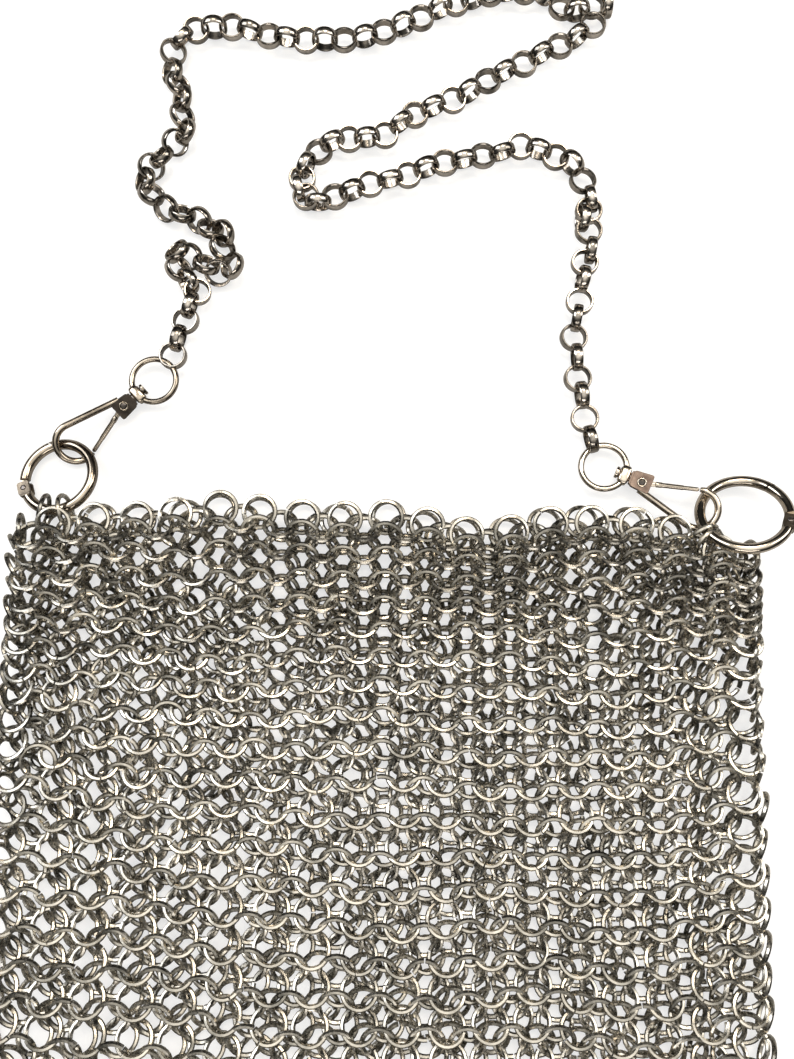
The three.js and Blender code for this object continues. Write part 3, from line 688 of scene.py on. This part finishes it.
def hook_parts(side):
    place = HOOKS[side]
    matrix = hook_matrix(place)
    level = hook_matrix(place, 0)
    eye_ring = arc(EYE_RADIUS, 0, 2 * math.pi, 65, (-7.2, 0))[:-1]
    eye_ring = sweep(eye_ring, EYE_WIRE / 2, 14, closed=True)
    verts, faces = joined([placed(eye_ring, level), placed(collar_block(), level)])
    piece(f"{side}_swivel", verts, faces, NICKEL[side], f"{side}_eye_body", "nickel", f"{side}_swivel_eye")

    path = frame_path()
    radii = np.full(len(path), HOOK_WIRE / 2)
    radii[-4:] = [1.12, 1.05, 0.95, 0.8]
    parts = [sweep(path, radii, 16), rod(2.0, -3.05, -2.05), rod(1.0, -2.2, 2.3)]
    for facing in (1, -1):
        rim = arc(1.32, 0, 2 * math.pi, 29)[:-1] + np.array([*PIVOT, facing * 1.78])
        parts.append(sweep(rim, 0.3, 10, closed=True))
    verts, faces = joined([placed(part, matrix) for part in parts])
    piece(f"{side}_hook_frame", verts, faces, NICKEL[side], "purse", "nickel", f"{side}_hook_body")
    near, far = CHEEK_START + 0.6, CHEEK_END
    cheek = rounded([(near, -2.7), (far, -3.3), (far, 3.3), (near, 2.7)], 0.9)
    near, far = CHEEK_START, CHEEK_START + 1.2
    web = rounded([(near, -2.2), (far, -2.5), (far, 2.5), (near, 2.2)], 0.4)
    parts = [plate(cheek, 0.9, 1.7), plate(cheek, -1.7, -0.9), plate(web, -1.6, 1.6)]
    verts, faces = joined([placed(part, matrix) for part in parts])
    piece(f"{side}_hook_cheeks", verts, faces, CHEEK_PAINTED_DARK[side], "purse", "nickel")

    at_pivot = matrix @ Matrix.Translation((PIVOT[0], PIVOT[1], 0))
    parts = [placed(dome(1.0, 0.25, 1.7 * facing, facing), at_pivot) for facing in (1, -1)]
    for x in (1.9, -1.9):
        bead = np.array([[x - 0.12, 0, 0], [x + 0.12, 0, 0]])
        parts.append(placed(sweep(bead, 1.55, 20), matrix))
    verts, faces = joined(parts)
    piece(f"{side}_hook_rivets", verts, faces, RIVET_METAL, "purse", "nickel")

    tip = NOSE + NOSE_RADIUS * np.array([math.cos(NOSE_END + 0.03), math.sin(NOSE_END + 0.03)])
    along = (tip - PIVOT) / np.linalg.norm(tip - PIVOT)
    across = np.array([-along[1], along[0]])
    reach = float(np.linalg.norm(tip - PIVOT))
    steps = np.array([
        2.2, 2.5, 4.4, 4.7, 6.4, 6.7, reach * 0.72, reach * 0.74, reach - 0.6, reach - 0.15, reach + 0.1,
    ])
    radii = np.array([0.5, 0.55, 0.6, 0.95, 0.95, 0.84, 0.84, 0.72, 0.72, 0.6, 0.35])
    line = np.array([[*(PIVOT + along * distance), 0] for distance in steps])
    angles = np.linspace(0.6, 5.7, 16) + math.atan2(along[1], along[0])
    lug = [PIVOT + 1.85 * np.array([math.cos(a), math.sin(a)]) for a in angles]
    arm_end = PIVOT + along * 4.8
    lug = [*lug, arm_end - across * 0.75, arm_end + across * 0.75]
    parts = [sweep(line, radii, 14), plate(lug, -0.55, 0.55, 0.08)]
    verts, faces = joined([placed(part, matrix) for part in parts])
    body, node = f"{side}_hook_gate_body", f"{side}_hook_gate"
    piece(f"{side}_hook_gate_wire", verts, faces, NICKEL[side], body, "nickel", node)


for hook_side in HOOKS:
    hook_parts(hook_side)


# Spring-gate rings, in the ring's own plane

LATCH_GAP = 0.45
KNUCKLE_HALF = 2.3


def spring_parts(side):
    place = SPRING_RINGS[side]
    matrix = spring_matrix(place)
    radius = (place["inner"] + SPRING_WIRE) / 2
    latch = math.radians(place["latch"])
    hinge = math.radians(place["hinge"])
    turn = 1 if hinge > latch else -1
    half = KNUCKLE_HALF / radius
    latch_at = radius * np.array([math.cos(latch), math.sin(latch), 0])
    hinge_at = radius * np.array([math.cos(hinge), math.sin(hinge), 0])
    away = (latch_at - hinge_at) / np.linalg.norm(latch_at - hinge_at)
    body_path = arc(radius, hinge + turn * half * 0.8, latch + turn * 2 * math.pi, 76)
    gate_path = arc(radius, latch, hinge - turn * (half + 1.2 / radius), 26)
    body_end = (latch_at + away * LATCH_GAP / 2, away)
    gate_end = (latch_at - away * LATCH_GAP / 2, away)
    wire = SPRING_WIRE / 2
    body = sweep(body_path, wire, 20, ends=(None, body_end))
    gate = sweep(gate_path, wire - 0.03, 20, ends=(gate_end, None))

    at_hinge = Matrix.Rotation(hinge, 4, "Z") @ Matrix.Translation((radius, 0, 0))
    at_hinge = at_hinge @ Matrix.Rotation(turn * math.pi / 2, 4, "Z")
    wide = KNUCKLE_HALF
    cheek = rounded([(-wide, -2.05), (wide, -2.05), (wide, 2.05), (-wide, 2.05)], 0.9)
    web = rounded([(1.75, -1.9), (2.9, -1.6), (2.9, 1.6), (1.75, 1.9)], 0.3)
    knuckle = [
        placed(plate(cheek, 0.87, 1.85), at_hinge), placed(plate(cheek, -1.85, -0.87), at_hinge),
        placed(plate(web, -1.75, 1.75), at_hinge), placed(plate(circle(0.58), -0.9, 0.9, 0.05), at_hinge),
    ]
    verts, faces = placed(body, matrix)
    piece(f"{side}_spring_ring", verts, faces, NICKEL[side], "purse", "nickel", f"{side}_ring_body")
    verts, faces = joined([placed(part, matrix) for part in knuckle])
    piece(f"{side}_ring_knuckle", verts, faces, KNUCKLE_METAL, "purse", "nickel")
    heads = [placed(dome(0.95, 0.3, 1.85 * facing, facing), at_hinge) for facing in (1, -1)]
    verts, faces = joined([placed(part, matrix) for part in heads])
    piece(f"{side}_spring_ring_pin", verts, faces, RIVET_METAL, "purse", "nickel")

    tongue = rounded([(-3.9, -1.2), (0, -1.4), (1.2, 0), (0, 1.4), (-3.9, 1.2)], 0.5)
    tongue = placed(plate(tongue, -0.55, 0.55, 0.06), at_hinge)
    verts, faces = joined([placed(part, matrix) for part in (gate, tongue)])
    body, node = f"{side}_ring_gate_body", f"{side}_ring_gate"
    piece(f"{side}_spring_gate", verts, faces, NICKEL[side], body, "nickel", node)


for ring_side in SPRING_RINGS:
    spring_parts(ring_side)


# Floor, lights and surroundings

def lit_paper(name, colour, glow):
    """A matt backdrop that stays pale between the rings, but that the metal reflects as it is lit."""
    material = bpy.data.materials.new(name)
    material.use_nodes = True
    shader = material.node_tree.nodes["Principled BSDF"]
    shader.inputs["Base Color"].default_value = (*colour, 1)
    shader.inputs["Roughness"].default_value = 0.9
    shader.inputs["Specular IOR Level"].default_value = 0.1
    shader.inputs["Emission Color"].default_value = (1, 1, 1, 1)
    path_kind = material.node_tree.nodes.new("ShaderNodeLightPath")
    share = material.node_tree.nodes.new("ShaderNodeMath")
    share.operation = "MULTIPLY"
    share.inputs[1].default_value = glow
    material.node_tree.links.new(path_kind.outputs["Is Camera Ray"], share.inputs[0])
    material.node_tree.links.new(share.outputs["Value"], shader.inputs["Emission Strength"])
    return material


floor_mesh = bpy.data.meshes.new("floor")
floor_mesh.from_pydata([(-3, -3, 0), (3, -3, 0), (3, 3, 0), (-3, 3, 0)], [], [(0, 1, 2, 3)])
floor_mesh.materials.append(lit_paper("pale_floor", (0.38, 0.38, 0.375), 0.66))
floor = bpy.data.objects.new("floor", floor_mesh)
floor.location.z = -0.0002
bpy.context.scene.collection.objects.link(floor)


def softbox(name, place, size, power, colour=(1, 1, 1)):
    light = bpy.data.lights.new(name, "AREA")
    light.shape = "RECTANGLE"
    light.size, light.size_y = size
    light.energy = power
    light.color = colour
    made = bpy.data.objects.new(name, light)
    made.location = place
    made.rotation_euler = (Vector((0, 0, 0)) - Vector(place)).to_track_quat("-Z", "Y").to_euler()
    bpy.context.scene.collection.objects.link(made)


softbox("window_left", (-0.9, 0.5, 1.1), (0.7, 0.9), 11, (0.97, 0.98, 1.0))
softbox("window_right", (1.0, 0.35, 1.0), (0.5, 0.9), 8, (1.0, 0.95, 0.88))
softbox("warm_top", (0.1, 0.7, 1.5), (0.6, 0.35), 10, (1.0, 0.86, 0.7))
softbox("low_front", (0.0, -1.3, 0.8), (1.2, 0.3), 5, (1.0, 0.95, 0.9))

world = bpy.data.worlds.new("room")
bpy.context.scene.world = world
world.use_nodes = True
nodes = world.node_tree.nodes
links = world.node_tree.links
nodes.clear()
sky = nodes.new("ShaderNodeTexCoord")
split = nodes.new("ShaderNodeSeparateXYZ")
links.new(sky.outputs["Generated"], split.inputs["Vector"])
ramp = nodes.new("ShaderNodeValToRGB")
stops = ramp.color_ramp.elements
stops[0].position = 0.0
stops[0].color = (0.006, 0.006, 0.0057, 1)
stops[1].position = 1.0
stops[1].color = (0.9, 0.865, 0.81, 1)
for position, colour in (
    (0.4, (0.012, 0.012, 0.0115, 1)), (0.7, (0.05, 0.05, 0.047, 1)), (0.87, (0.42, 0.405, 0.375, 1)),
):
    stop = stops.new(position)
    stop.color = colour
links.new(split.outputs["Z"], ramp.inputs["Fac"])
room = nodes.new("ShaderNodeBackground")
room.inputs["Strength"].default_value = 2.2
links.new(ramp.outputs["Color"], room.inputs["Color"])
backdrop = nodes.new("ShaderNodeBackground")
backdrop.inputs["Color"].default_value = (0.95, 0.95, 0.95, 1)
path_kind = nodes.new("ShaderNodeLightPath")
mix = nodes.new("ShaderNodeMixShader")
links.new(path_kind.outputs["Is Camera Ray"], mix.inputs["Fac"])
links.new(room.outputs["Background"], mix.inputs[1])
links.new(backdrop.outputs["Background"], mix.inputs[2])
output = nodes.new("ShaderNodeOutputWorld")
links.new(mix.outputs["Shader"], output.inputs["Surface"])

bpy.context.scene.view_settings.view_transform = "Standard"
